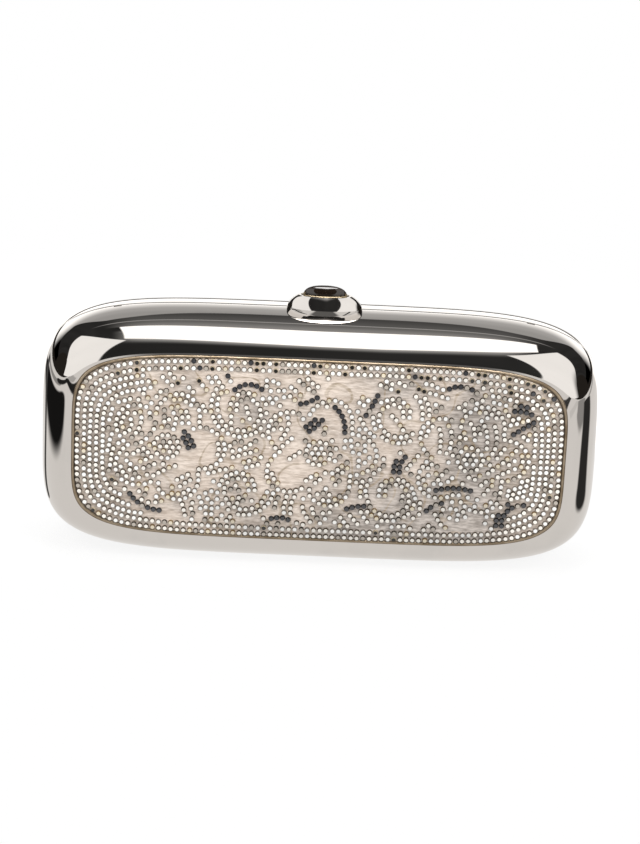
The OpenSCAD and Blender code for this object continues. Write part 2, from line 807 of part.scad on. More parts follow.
module stem_clip()
    color(metal) translate([0, -clasp_depth, clip_top - clip_t]) difference() {
        cylinder(r = clip_r, h = clip_t);
        translate([0, 0, -overrun]) cylinder(r = stem_r, h = clip_t + 2 * overrun);
    }

// Rocker on the latch pin. The stem pushes its bar down, and the hook drops clear of the strike
module latch_lever()
    color(inner_metal) difference() {
        union() {
            box([-lever_w / 2, -pivot_depth, lever_top - lever_t],
                [lever_w / 2, hook_near + hook_t, lever_top]);
            box([-hook_w / 2, hook_near, lever_top - lever_t],
                [hook_w / 2, hook_near + hook_t, lever_top + hook_h]);
            translate([-lever_w / 2, -pivot_depth, pivot_z]) rotate([0, 90, 0])
                cylinder(r = pivot_boss_r, h = lever_w);
        }
        translate([-lever_w, -pivot_depth, pivot_z]) rotate([0, 90, 0])
            cylinder(r = latch_pin_r + running_gap, h = 2 * lever_w);
    }

back_shell();
back_rim();
back_plate();
back_panel();
back_fabric();
back_bezel();
back_stones();
back_lining();
back_hinge_leaf();
back_hinge_rivets();
hinge_pin();
catch_plate();
catch_screws();
chain_eye_left();
chain_eye_right();
front_shell();
front_rim();
front_plate();
front_panel();
front_fabric();
front_bezel();
front_stones();
front_lining();
front_hinge_leaf();
front_hinge_rivets();
clasp_dome();
clasp_screws();
latch_bracket();
latch_pin();
latch_spring();
button_guide();
button_spring();
cabochon();
cabochon_setting();
button_stem();
stem_clip();
latch_lever();
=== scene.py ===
import random
from itertools import product
from math import asin, copysign, cos, dist, pi, radians, sin, sqrt, tau

import bmesh
import bpy
from mathutils import Matrix, Vector


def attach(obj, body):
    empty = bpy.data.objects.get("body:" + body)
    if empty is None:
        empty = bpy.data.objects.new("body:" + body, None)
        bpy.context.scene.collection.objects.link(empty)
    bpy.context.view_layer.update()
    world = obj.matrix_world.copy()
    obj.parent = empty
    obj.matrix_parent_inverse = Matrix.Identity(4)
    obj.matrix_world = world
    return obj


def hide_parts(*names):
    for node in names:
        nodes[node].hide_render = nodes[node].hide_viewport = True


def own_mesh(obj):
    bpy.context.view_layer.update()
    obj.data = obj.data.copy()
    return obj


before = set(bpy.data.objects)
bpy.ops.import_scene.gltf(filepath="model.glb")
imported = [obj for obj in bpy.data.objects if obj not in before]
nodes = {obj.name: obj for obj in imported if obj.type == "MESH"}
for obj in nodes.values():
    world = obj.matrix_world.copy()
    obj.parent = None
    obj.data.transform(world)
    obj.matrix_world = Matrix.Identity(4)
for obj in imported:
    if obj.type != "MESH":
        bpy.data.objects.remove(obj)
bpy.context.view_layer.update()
mm = 0.001
mergeDistance = 2e-6

# sizes that several pieces share, as in the part's source, in millimetres
body = {
    "length": 184.5, "height": 86, "depth": 20, "power": 4.8, "panelPower": 5.2, "frame": 11.3,
    "wall": 1.1, "restCut": 0.35, "mouth": 0.15,
}
panel = {
    "bezelWide": 0.6, "bezelRise": 0.3, "bezelTuck": 0.2, "gap": 0.05, "rise": 0.1, "crown": 1.2,
    "roll": 1, "dropShare": 0.6, "cloth": 0.4, "lap": 0.3, "areaShare": 0.956,
}
fronts = {"front": ("lid", 1), "back": ("back", -1)}  # body that each half rides on, and its side
halfLength = body["length"] / 2
halfHeight = body["height"] / 2
middle = halfHeight - body["restCut"]
topLevel = middle + halfHeight
innerDepth = body["depth"] - body["wall"]
padInset = body["frame"] + panel["bezelWide"] + 3 * panel["gap"]
padHalfLength = halfLength - padInset
padHalfHeight = halfHeight - padInset
padFace = body["depth"] + panel["rise"]


def sums(operation):  # with the wire first, and with it last
    def first(self, other):
        return self.sum(operation, other)

    def last(self, other):
        return self.plan.node("ShaderNodeMath", [other, self], operation=operation)

    return first, last


class Wire:  # a socket that can be used in sums
    __add__, __radd__ = sums("ADD")
    __sub__, __rsub__ = sums("SUBTRACT")
    __mul__, __rmul__ = sums("MULTIPLY")
    __truediv__, __rtruediv__ = sums("DIVIDE")
    __pow__, __lt__ = sums("POWER")[0], sums("LESS_THAN")[0]

    def __init__(self, plan, socket):
        self.plan, self.socket = plan, socket

    def out(self, name):
        return Wire(self.plan, self.socket.node.outputs[name])

    def sum(self, operation, *others):
        return self.plan.node("ShaderNodeMath", [self, *others], operation=operation)

    def __abs__(self):
        return self.sum("ABSOLUTE")

    def __neg__(self):
        return 0 - self


class Plan:  # a tree of nodes: of a material, of the world or of geometry
    def __init__(self, tree):
        self.tree = tree

    def node(self, kind, values=(), out=0, **settings):
        made = self.tree.nodes.new(kind)
        for key, value in settings.items():
            setattr(made, key, value)
        for key, value in values.items() if isinstance(values, dict) else enumerate(values):
            socket = made.inputs[key]
            if isinstance(value, Wire):
                self.tree.links.new(value.socket, socket)
            else:
                socket.default_value = value
        return Wire(self, made.outputs[out]) if len(made.outputs) else None

    def mix(self, share, first, second):
        first, second = (c if isinstance(c, Wire) else (*c, 1) for c in (first, second))
        return self.node("ShaderNodeMix", {0: share, 6: first, 7: second}, out=2, data_type="RGBA")

    def noise(self, place, scale, detail=2, rough=0.5, stretch=(1, 1, 1)):
        moved = self.node("ShaderNodeMapping", {"Vector": place, "Scale": stretch})
        values = {"Vector": moved, "Scale": scale, "Detail": detail, "Roughness": rough}
        return self.node("ShaderNodeTexNoise", values)

    def wave(self, place, direction, scale, distortion):
        values = {"Vector": place, "Scale": scale, "Distortion": distortion}
        return self.node("ShaderNodeTexWave", values, bands_direction=direction).out("Fac")

    def ease(self, value, low, high, first=0.0, last=1.0):
        values = {"Value": value, "From Min": low, "From Max": high, "To Min": first, "To Max": last}
        return self.node("ShaderNodeMapRange", values, interpolation_type="SMOOTHSTEP")


def newFinish(name, build):
    material = bpy.data.materials.new(name)
    material.use_nodes = True
    material.node_tree.nodes.clear()
    plan = Plan(material.node_tree)
    place = plan.node("ShaderNodeTexCoord").out("Object")
    plan.node("ShaderNodeOutputMaterial", {"Surface": build(plan, place)})
    return material


def gloss(plan, colour, rough, grain=None, more=None):  # grain is a height, its strength and its distance
    values = {"Base Color": colour, "Roughness": rough, **(more or {})}
    if grain:
        heights = dict(zip(("Height", "Strength", "Distance"), grain))
        values["Normal"] = plan.node("ShaderNodeBump", heights)
    return plan.node("ShaderNodeBsdfPrincipled", values)


def blend(level, value, share):
    return level + (value - level) * share


def axes(plan, place):
    split = plan.node("ShaderNodeSeparateXYZ", {"Vector": place})
    return [split.out(axis) for axis in "XYZ"]


def addObject(name, data):
    made = bpy.data.objects.new(name, data)
    bpy.context.scene.collection.objects.link(made)
    return made


def addMesh(name, points, faces, unit=mm):
    mesh = bpy.data.meshes.new(name)
    mesh.from_pydata([tuple(c * unit for c in p) for p in points], [], faces)
    return addObject(name, mesh)


def settle(piece):  # doubles merged and faces turned outwards
    shape = bmesh.new()
    shape.from_mesh(piece.data)
    bmesh.ops.remove_doubles(shape, verts=shape.verts, dist=mergeDistance)
    bmesh.ops.dissolve_degenerate(shape, edges=shape.edges, dist=mergeDistance)
    bmesh.ops.recalc_face_normals(shape, faces=shape.faces)
    shape.to_mesh(piece.data)
    shape.free()


def applied(piece):  # modifiers turned into a plain mesh
    bpy.context.view_layer.update()
    graph = bpy.context.evaluated_depsgraph_get()
    mesh = bpy.data.meshes.new_from_object(piece.evaluated_get(graph))
    piece.modifiers.clear()
    old = piece.data
    piece.data = mesh
    bpy.data.meshes.remove(old)
    mesh.name = piece.name
    return piece


def newRule(name, numbers, count):  # a tree of geometry nodes with its inputs
    rule = bpy.data.node_groups.new(name, "GeometryNodeTree")
    kinds = {"Geometry": "Geometry", **dict.fromkeys(numbers, "Float"), count: "Int", "Material": "Material"}
    for label, kind in kinds.items():
        rule.interface.new_socket(name=label, in_out="INPUT", socket_type="NodeSocket" + kind)
    rule.interface.new_socket(name="Geometry", in_out="OUTPUT", socket_type="NodeSocketGeometry")
    plan = Plan(rule)
    return rule, plan, plan.node("NodeGroupInput")


def endRule(plan, given, shape):
    shape = plan.node("GeometryNodeSetMaterial", {"Geometry": shape, "Material": given.out("Material")})
    plan.node("NodeGroupOutput", {"Geometry": shape})


def follow(piece, rule, inputs):  # the piece becomes what the rule makes of its points
    step = piece.modifiers.new("rule", "NODES")
    step.node_group = rule
    for item in rule.interface.items_tree:
        if item.in_out == "INPUT" and item.name in inputs:
            step[item.identifier] = inputs[item.name]
    return applied(piece)


def boxPoints(low, high):
    faces = [(0, 1, 3, 2), (4, 6, 7, 5), (0, 4, 5, 1), (2, 3, 7, 6), (0, 2, 6, 4), (1, 5, 7, 3)]
    return list(product(*zip(low, high))), faces


def cutAway(piece, forms):  # forms are pairs of points and faces
    for points, faces in forms:
        cutter = addMesh("cutter", points, faces)
        settle(cutter)
        step = piece.modifiers.new("cut", "BOOLEAN")
        step.object, step.operation, step.solver = cutter, "DIFFERENCE", "EXACT"
        applied(piece)
        bpy.data.objects.remove(cutter)


def dress(piece, bodyName, material, replaced, smoothTo=35):
    if smoothTo:
        piece.data.shade_smooth()
        piece.data.set_sharp_from_angle(angle=radians(smoothTo))
    else:
        piece.data.shade_flat()
    piece.data.materials.clear()
    piece.data.materials.append(material)
    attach(piece, bodyName)
    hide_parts(replaced)


# shells, bezels, cloths and linings follow one rule: a profile turned round the outline
outline = {
    "Half length": halfLength * mm,
    "Half height": halfHeight * mm,
    "Middle": middle * mm,
    "Frame": body["frame"] * mm,
    "Power": body["power"],
    "Panel power": body["panelPower"],
    "Crowding": -0.55,
}


def turnedRule():
    numbers = [*outline, "Side"]
    rule, plan, given = newRule("turned round the outline", numbers, "Steps")
    length, height, centre, frameWide, power, panelPower, crowding, side = map(given.out, numbers)
    profile = given.out("Geometry")
    size = plan.node("GeometryNodeAttributeDomainSize", {"Geometry": profile}, component="MESH")
    rows = size.out("Point Count")
    counts = {"Size X": 1, "Size Y": 1, "Vertices X": given.out("Steps") + 1, "Vertices Y": rows}
    grid = plan.node("GeometryNodeMeshGrid", counts)
    u, v, _ = axes(plan, plan.node("GeometryNodeInputPosition"))
    row = ((v + 0.5) * (rows - 1)).sum("ROUND")
    sampled = plan.node(
        "GeometryNodeSampleIndex",
        {"Geometry": profile, "Value": plan.node("GeometryNodeInputPosition"), "Index": row},
        data_type="FLOAT_VECTOR",
        domain="POINT",
    )
    inset, depth, share = axes(plan, sampled)
    turn = (u + 0.5) * tau
    turn = turn - crowding * (turn * 4).sum("SINE") / 4  # more steps in the corners
    across, up = turn.sum("COSINE"), turn.sum("SINE")
    inwards = (inset / frameWide).sum("MINIMUM", 1)
    square = power + (panelPower - power) * inwards
    reach = (abs(across) ** square + abs(up) ** square) ** (-1 / square) * share
    x = (length - inset) * across * reach
    z = centre + (height - inset) * up * reach
    spot = plan.node("ShaderNodeCombineXYZ", [x, -depth * side, z.sum("MAXIMUM", 0)])
    shape = plan.node("GeometryNodeSetPosition", {"Geometry": grid, "Position": spot})
    shape = plan.node("GeometryNodeMergeByDistance", {"Geometry": shape, "Distance": mergeDistance})
    endRule(plan, given, shape)
    return rule


turnedRound = turnedRule()


def turned(name, profile, side, material, steps=720):  # profile points are inset, depth and share
    # the share isn't in millimetres
    piece = addMesh(name, [(inset, depth, share / mm) for inset, depth, share in profile], [])
    follow(piece, turnedRound, {**outline, "Side": float(side), "Steps": steps, "Material": material})
    settle(piece)
    return piece


def quarter(startInset, endInset, start, end, count):  # a quarter of an ellipse, as profile points
    turns = [pi / 2 * i / count for i in range(count + 1)]
    wide, high = endInset - startInset, end - start
    return [(startInset + wide * (1 - cos(t)), start + high * sin(t), 1) for t in turns]


print("tools ready")


# finishes
metal = {"Metallic": 1}


def polishedFinish(plan, place):
    y = axes(plan, place)[1]
    haze = plan.ease(plan.noise(place, 38, 4, 0.6), 0.52, 0.72)
    hair = plan.noise(place, 900, 2, 0.5, (0.05, 1, 1))
    lip = plan.ease(abs(y), 0.0002, 0.0009, 1, 0)  # worn edge beside the parting line
    colour = plan.mix(haze, (0.70, 0.672, 0.645), (0.665, 0.64, 0.617))
    colour = plan.mix(lip * 0.6, colour, (0.74, 0.725, 0.70))
    rough = 0.028 + haze * 0.022 + plan.ease(hair, 0.66, 0.78) * 0.03 + lip * 0.05
    return gloss(plan, colour, rough, (plan.noise(place, 24, 1), 0.05, 0.0004), metal)


def innerFinish(plan, place):
    grain = plan.noise(place, 1400, 3, 0.6, (0.04, 1, 1))
    colour = plan.mix(plan.noise(place, 30), (0.60, 0.57, 0.52), (0.68, 0.65, 0.60))
    return gloss(plan, colour, 0.26 + grain * 0.06, (grain, 0.05, 0.00002), metal)


def bezelFinish(plan, place):
    cloud = plan.noise(place, 160, 3)
    colour = plan.mix(plan.ease(cloud, 0.38, 0.68), (0.40, 0.32, 0.23), (0.24, 0.18, 0.115))
    return gloss(plan, colour, 0.34 + cloud * 0.14, (cloud, 0.1, 0.0001), {"Metallic": 0.8})


def settingFinish(plan, place):
    cloud = plan.noise(place, 300, 3)
    colour = plan.mix(cloud, (0.24, 0.19, 0.12), (0.38, 0.31, 0.21))
    return gloss(plan, colour, 0.24 + cloud * 0.1, (cloud, 0.1, 0.0001), metal)


def brassFinish(plan, place):
    turning = plan.wave(place, "Z", 1500, 1)
    colour = plan.mix(plan.noise(place, 400), (0.62, 0.47, 0.24), (0.72, 0.57, 0.32))
    return gloss(plan, colour, 0.22 + turning * 0.12, (turning, 0.1, 0.00003), metal)


def steelFinish(plan, place):
    grain = plan.noise(place, 2200, 2, 0.5, (1, 0.08, 1))
    colour = plan.mix(plan.noise(place, 220), (0.50, 0.49, 0.48), (0.62, 0.61, 0.60))
    return gloss(plan, colour, 0.22 + grain * 0.16, (grain, 0.1, 0.00003), metal)


def boardFinish(plan, place):
    fibre = plan.noise(place, 700, 4, 0.7, (0.3, 1, 1))
    colour = plan.mix(fibre, (0.42, 0.37, 0.30), (0.55, 0.50, 0.42))
    return gloss(plan, colour, 0.8 + fibre * 0.1, (fibre, 0.3, 0.0002))


def panelFabricFinish(plan, place):
    x, _, z = axes(plan, place)
    wide = abs(x)
    drift = plan.noise(place, 34, 3, 0.55)
    grey = plan.ease(drift + x * 2.2 - z * 2.4 + 0.11, 0.38, 0.66)  # greyer at the lower right
    grey = grey * plan.ease(wide, 0.053, 0.07, 1, 0.1)
    base = plan.mix(grey, (0.86, 0.70, 0.57), (0.38, 0.325, 0.285))
    ochre = plan.ease(plan.noise(place, 95, 3, 0.6, (0.6, 1, 1)), 0.62, 0.72)
    base = plan.mix(ochre * 0.5, base, (0.42, 0.28, 0.13))
    winding = abs(plan.noise(place, 62, 1, 0.4) - 0.5)  # outlines in gold thread
    base = plan.mix(plan.ease(winding, 0.016, 0.006) * 0.75, base, (0.36, 0.24, 0.11))
    packed = plan.ease(wide, 0.056, 0.066)  # in shade where the crystals stand close
    base = plan.mix(packed * 0.5, base, (0.18, 0.125, 0.08))
    slub = plan.ease(plan.noise(place, 1500, 2, 0.6, (0.22, 1, 1)), 0.34, 0.66)
    lean = plan.ease(plan.noise(place, 700, 2, 0.6, (0.12, 1, 1)), 0.36, 0.64)
    thread = slub * 0.6 + lean * 0.4
    dull = plan.mix(0.42, base, (0.10, 0.085, 0.07))
    bright = plan.mix(0.5, base, (0.93, 0.85, 0.78))
    base = plan.mix(thread, dull, bright)
    square = body["panelPower"]
    share = (wide / (padHalfLength * mm)) ** square + (abs(z - middle * mm) / (padHalfHeight * mm)) ** square
    base = plan.mix(plan.ease(share, 0.93, 0.98), base, (0.05, 0.035, 0.022))  # painted shade where the cloth turns down at its edge
    relief = thread + plan.wave(place, "X", 900, 0.6) * 0.25
    sheen = {"Sheen Weight": 0.2, "Sheen Roughness": 0.4, "Specular IOR Level": 0.5}
    return gloss(plan, base, 0.5 + thread * 0.15, (relief, 0.5, 0.00015), sheen)


def crystalFinish(plan, place):
    def stored(name, out):
        return plan.node("ShaderNodeAttribute", attribute_name=name).out(out)

    crown = stored("crown", "Fac")
    # the crown's facets take a painted shade instead of the stone's tint; on night stones it is a painted
    # glint
    colour = plan.mix(crown, stored("tint", "Color"), stored("rim", "Color"))
    rough = 0.16 + plan.noise(place, 1300, 1) * 0.12
    glass = {"IOR": 1.6, "Specular IOR Level": 0.25, "Coat Roughness": 0.03}
    glass["Coat Weight"] = 0.7 - crown * 0.65
    return gloss(plan, colour, rough, None, glass)


def liningFinish(plan, place):
    weave = plan.wave(place, "X", 1100, 0.8) * 0.6 + plan.wave(place, "Z", 1300, 0.8) * 0.4
    cloud = plan.noise(place, 26, 3) * 0.5
    colour = plan.mix(cloud + weave * 0.4, (0.014, 0.013, 0.014), (0.052, 0.048, 0.049))
    relief = weave * 0.05 + plan.noise(place, 55, 2, 0.5, (1, 1, 0.3))
    sheen = {"Sheen Weight": 0.15, "Sheen Roughness": 0.35, "Specular IOR Level": 0.32}
    return gloss(plan, colour, 0.40 + weave * 0.14, (relief, 0.5, 0.0016), sheen)


def jetFinish(plan, place):
    colour = plan.mix(plan.noise(place, 90, 3), (0.006, 0.004, 0.003), (0.020, 0.012, 0.008))
    rough = 0.03 + plan.ease(plan.noise(place, 260, 3), 0.5, 0.7) * 0.03
    return gloss(plan, colour, rough, None, {"IOR": 1.66})


polished = newFinish("polishedGunmetal", polishedFinish)
innerMetal = newFinish("satinInnerMetal", innerFinish)
bezelGold = newFinish("bezelGold", bezelFinish)
settingGold = newFinish("settingGold", settingFinish)
brass = newFinish("bushBrass", brassFinish)
steel = newFinish("springSteel", steelFinish)
board = newFinish("panelBoard", boardFinish)
panelFabric = newFinish("panelFabric", panelFabricFinish)
crystal = newFinish("crystal", crystalFinish)
liningSatin = newFinish("liningSatin", liningFinish)
jet = newFinish("jetStone", jetFinish)
print("finishes ready")


# shells, with their hinge channel and the slots for a chain
hinge = {
    "length": 104, "height": 2, "knuckle": 1.75, "gap": 0.3, "reliefEnd": 68.31, "relief": 1.8,
    "reliefOver": 0.05,
}
slots = {"x": 68, "width": 2.6, "deep": 1.05}
past = 1  # how far the cutters stand out of what they cut
outerCurve = quarter(0, body["frame"], body["mouth"], body["depth"], 40)


def hingeCuts():
    half = hinge["length"] / 2 + hinge["gap"]
    wide = hinge["knuckle"] + hinge["gap"]
    end, deep = hinge["reliefEnd"], hinge["relief"]
    return [
        boxPoints((-half, -wide, -past), (half, wide, hinge["height"] + wide)),
        boxPoints((-end, -deep, -past), (end, deep, hinge["height"] + hinge["reliefOver"])),
    ]


def slotCuts():
    half, top = slots["width"] / 2, topLevel + past
    places = [s * slots["x"] for s in (-1, 1)]
    return [boxPoints((x - half, -slots["deep"], middle), (x + half, body["mouth"], top)) for x in places]


def shellProfile():
    inset, mouth, deep = body["frame"], body["mouth"], body["depth"]
    inner = quarter(body["wall"], inset, mouth, innerDepth, 16)
    edge = 0.12  # both edges are broken a little
    lip = [(edge, mouth, 1), (edge / 4, mouth + edge / 3, 1), (0, mouth + edge, 1)]
    rolled = [(inset - edge, deep, 1), (inset, deep - edge, 1)]
    return lip + outerCurve[1:-1] + rolled + inner[::-1] + lip[:1]


for half, (bodyName, side) in fronts.items():
    shell = turned(half + "ShellPolished", shellProfile(), side, polished)
    cutAway(shell, hingeCuts() + (slotCuts() if half == "front" else []))
    dress(shell, bodyName, polished, half + "_shell")
print("shells ready")


# panels: fabric over a padded board, inside a bezel wire
def padDepth(share):
    return padFace + panel["crown"] * (1 - share**3)


def padShare(x, z):
    square = body["panelPower"]
    a, b = padHalfLength - panel["roll"], padHalfHeight - panel["roll"]
    return ((abs(x) / a) ** square + (abs(z) / b) ** square) ** (1 / square)


def padProfile(lift):
    roll, rollSteps, crownSteps = panel["roll"], 6, 24
    profile = []
    for i in range(rollSteps + 1):
        s = i / rollSteps
        drop = panel["dropShare"] * roll * (1 - sqrt(1 - (1 - s) ** 2))
        profile.append((padInset + s * roll, padFace - drop - lift, 1))
    for i in range(1, crownSteps + 1):
        s = 1 - i / crownSteps
        profile.append((padInset + roll, padDepth(s) - lift, s))
    return profile


def bezelProfile():
    near, low = body["frame"] + panel["gap"], innerDepth - panel["bezelTuck"]
    r = (panel["bezelWide"] + panel["lap"]) / 2  # the wire laps over the cloth's turned edge
    high = body["depth"] + panel["bezelRise"] - r
    turns = [pi * i / 10 for i in range(11)]
    crown = [(near + r - r * cos(t), high + r * sin(t), 1) for t in turns]
    return [(near, low, 1), *crown, (near + 2 * r, low, 1), (near, low, 1)]


for half, (bodyName, side) in fronts.items():
    profile = padProfile(0)[::-1] + padProfile(panel["cloth"])
    cloth = turned(half + "PanelFabric", profile, side, panelFabric, 360)
    dress(cloth, bodyName, panelFabric, half + "_fabric", 60)
    wire = turned(half + "BezelWire", bezelProfile(), side, bezelGold, 480)
    dress(wire, bodyName, bezelGold, half + "_bezel")
print("panels ready")


# crystals; the flowers, scrolls and edge rows are the part's own
stones = {
    "width": 1.75, "height": 0.7, "sunk": 0.02, "pitch": 2.05, "sides": 12, "table": 0.76,
    "edgeShare": 1.1, "flowers": (-0.62, 0, 0.62), "flowerShare": 0.62, "petals": 5, "petalShare": 0.34,
    "heart": 4.1, "scrolls": (-0.31, 0.31), "scrollShare": 0.3, "scrollUp": 0.45, "scrollEye": 0.25,
    "scrollTurns": 1.1, "seed": 11,
}
rowSteps = {
    "edge": 1.9, "end": 1.93, "inner": 1.97, "dash": 1.92, "double": 1.9, "lattice": 1.94, "sweep": 2.0,
}
tightGap = stones["width"] + 0.05
looseGap = stones["width"] + 0.12
latticeLean = 0.33
flowerRadius = stones["flowerShare"] * padHalfHeight
scrollRadius = stones["scrollShare"] * padHalfHeight
scrollPlaces = [
    (s * padHalfLength, up * stones["scrollUp"] * padHalfHeight, up * copysign(1, s))
    for s in stones["scrolls"]
    for up in (-1, 1)
]


def spaced(row, pitch, closed=True):
    loop = row + row[:1] if closed else row
    lengths = [0]
    for a, b in zip(loop, loop[1:]):
        lengths.append(lengths[-1] + dist(a, b))
    count = max(1, round(lengths[-1] / pitch))
    places, k = [], 0
    for i in range(count if closed else count + 1):
        s = lengths[-1] * i / count
        while k < len(loop) - 2 and lengths[k + 1] < s:
            k += 1
        t = (s - lengths[k]) / max(lengths[k + 1] - lengths[k], 1e-9)
        (ax, ay), (bx, by) = loop[k], loop[k + 1]
        places.append((ax + t * (bx - ax), ay + t * (by - ay)))
    return places


def signedPower(value, exponent):
    return copysign(abs(value) ** exponent, value)


def ovalRow(inset, count=144):
    a, b, e = padHalfLength - inset, padHalfHeight - inset, 2 / body["panelPower"]
    turns = [tau * i / count for i in range(count)]
    return [(a * signedPower(cos(t), e), b * signedPower(sin(t), e)) for t in turns]


def flowerRow(x, radius, petals, count=72):
    share = stones["petalShare"]
    row = []
    for i in range(count):
        t = tau * i / count
        r = radius * (1 - share + share * abs(cos(petals * t / 2)))
        row.append((x + r * cos(t), r * sin(t)))
    return row


def scrollRow(x, z, radius, hand, grow=0, count=36):
    row = []
    for i in range(count + 1):
        s = i / count
        r = radius * (stones["scrollEye"] + (1 - stones["scrollEye"]) * s) + grow
        t = tau * stones["scrollTurns"] * s
        row.append((x + hand * r * cos(t), z + r * sin(t)))
    return row


def dashRow(x, z, turn, bend, count):
    row = []
    for _ in range(count):
        row.append((x, z))
        x += rowSteps["dash"] * cos(turn)
        z += rowSteps["dash"] * sin(turn)
        turn += bend
    return row


def inside(p):
    return padShare(*p) < 0.975


class Field:  # places kept clear of each other, in square cells
    def __init__(self, cell):
        self.cell, self.cells, self.places = cell, {}, []

    def cellOf(self, p):
        return int(p[0] // self.cell), int(p[1] // self.cell)

    def free(self, p, gap):
        cx, cz = self.cellOf(p)
        near = product((cx - 1, cx, cx + 1), (cz - 1, cz, cz + 1))
        return all(dist(p, q) >= gap for cell in near for q in self.cells.get(cell, ()))

    def add(self, p, kind, gap):
        if not self.free(p, gap):
            return False
        self.cells.setdefault(self.cellOf(p), []).append(p)
        self.places.append((p, kind))
        return True

    def put(self, p, kind):
        return inside(p) and self.add(p, kind, looseGap)


def waviness(x, z):  # slow patches that decide where the cloth stays bare
    return (
        sin(0.115 * x + 1.3 * sin(0.09 * z + 0.4)) * cos(0.16 * z - 0.07 * x + 0.6)
        + 0.55 * sin(0.31 * x - 0.22 * z + 1.9) * cos(0.27 * z + 0.13 * x)
    )


def ribbon(x, z):  # winding strips without crystals
    return abs(sin(0.20 * x + 1.7 * sin(0.12 * z + 0.6) + 0.8 * sin(0.06 * x))) < 0.3


def heading(x, z):  # the loose rows run along those strips
    return pi / 2 - 1.02 * cos(0.12 * z + 0.6) + 0.3 * sin(0.05 * x)


def greyness(x, z):  # the crystals get greyer towards the lower right, but not at the ends
    ends = min(max((abs(x) / padHalfLength - 0.7) / 0.15, 0), 1)
    return (1 - ends) * min(max(0.42 + 0.011 * x - 0.016 * z + 0.3 * sin(0.09 * x + 0.13 * z), 0), 1)


def addRows(field):  # the part's own rows
    rows = []
    for k in (0, 1):
        inset = stones["edgeShare"] * (panel["roll"] + k * stones["pitch"])
        rows.append(("edge", ovalRow(inset), True))
    for s in stones["flowers"]:
        x = s * padHalfLength
        rows.append(("petal", [(x, 0)], None))
        rows.append(("petal", flowerRow(x, flowerRadius, stones["petals"]), True))
        rows.append(("heart", flowerRow(x, stones["heart"], 0), True))
    for x, z, hand in scrollPlaces:
        rows.append(("scroll", scrollRow(x, z, scrollRadius, hand), False))
    for kind, row, closed in rows:
        for p in row if closed is None else spaced(row, stones["pitch"], closed):
            field.add(p, kind, tightGap)


def addDashes(field, draw):  # charcoal, short and bent, some of them double
    for k in range(16):
        for _ in range(40):
            x, z = draw.uniform(-0.82, 0.86) * padHalfLength, draw.uniform(-0.8, 0.8) * padHalfHeight
            turn, bend, count = draw.uniform(0, pi), draw.uniform(-0.3, 0.3), draw.randint(4, 7)
            row = dashRow(x, z, turn, bend, count)
            if all(inside(p) and field.free(p, looseGap) for p in row):
                aside = rowSteps["double"]
                x, z = x - aside * sin(turn), z + aside * cos(turn)
                second = dashRow(x, z, turn, bend, count - 1)
                for p in row + (second if k % 3 == 0 else []):
                    field.put(p, "dash")
                break


def addPatches(field, draw):  # thick and white
    for x, z, reach in ((0.17, 0.12, 6), (-0.42, -0.62, 5.5), (0.58, -0.5, 6.5), (-0.2, 0.66, 4.5)):
        x, z = x * padHalfLength, z * padHalfHeight
        for _ in range(500):
            p = (x + draw.gauss(0, reach / 2), z + draw.gauss(0, reach / 2))
            if dist(p, (x, z)) < reach:
                field.put(p, "patch")


def addInnerRows(field):  # beside the part's own rows
    rows = []
    for k in range(2, 5):  # along the edge at both ends
        inset = stones["edgeShare"] * (panel["roll"] + k * rowSteps["edge"])
        start = (0.74 - 0.015 * k) * padHalfLength
        rows.append(("end", [p for p in spaced(ovalRow(inset), rowSteps["end"]) if abs(p[0]) > start]))
    for s in stones["flowers"]:
        x = s * padHalfLength
        rows.append(("petal", spaced(flowerRow(x, flowerRadius - 2.0, stones["petals"]), rowSteps["inner"])))
        rows.append(("heart", spaced(flowerRow(x, 2.0, 0), rowSteps["inner"])))
    for x, z, hand in scrollPlaces:
        row = scrollRow(x, z, scrollRadius, hand, 2.0)
        rows.append(("scroll", spaced(row, rowSteps["inner"], False)))
    for kind, row in rows:
        for p in row:
            field.put(p, kind)


def addLattice(field):  # at both ends the crystals stand as close as they can
    along, across = cos(latticeLean), sin(latticeLean)
    for i in range(-60, 61):
        for k in range(-60, 61):
            u, v = rowSteps["lattice"] * (i + k % 2 / 2), rowSteps["lattice"] * sqrt(0.75) * k
            p = (u * along - v * across, u * across + v * along)
            if abs(p[0]) > (0.79 + 0.05 * sin(0.3 * p[1] + 1)) * padHalfLength:
                field.put(p, "end")


def addLoose(field, draw):  # rows that run side by side with bare cloth between them, then single ones
    a, b = padHalfLength, padHalfHeight
    for _ in range(5200):
        start = draw.uniform(-a, a), draw.uniform(-b, b)
        ends = abs(start[0]) > 0.68 * a
        bare = not ends and (waviness(*start) < -0.28 or ribbon(*start))
        if bare or not inside(start) or not field.free(start, looseGap + 0.05):
            continue
        field.put(start, "sweep")
        for hand in (1, -1):
            x, z = start
            for _ in range(draw.randint(2, 8)):
                turn = heading(x, z)
                on = hand * rowSteps["sweep"]
                x, z = x + on * cos(turn), z + on * sin(turn)
                if (not ends and ribbon(x, z)) or not field.put((x, z), "sweep"):
                    break
    for _ in range(16000):
        p = draw.uniform(-a, a), draw.uniform(-b, b)
        if abs(p[0]) > 0.7 * a or (waviness(*p) > 0.3 + 0.7 * draw.random() and not ribbon(*p)):
            field.put(p, "fill")


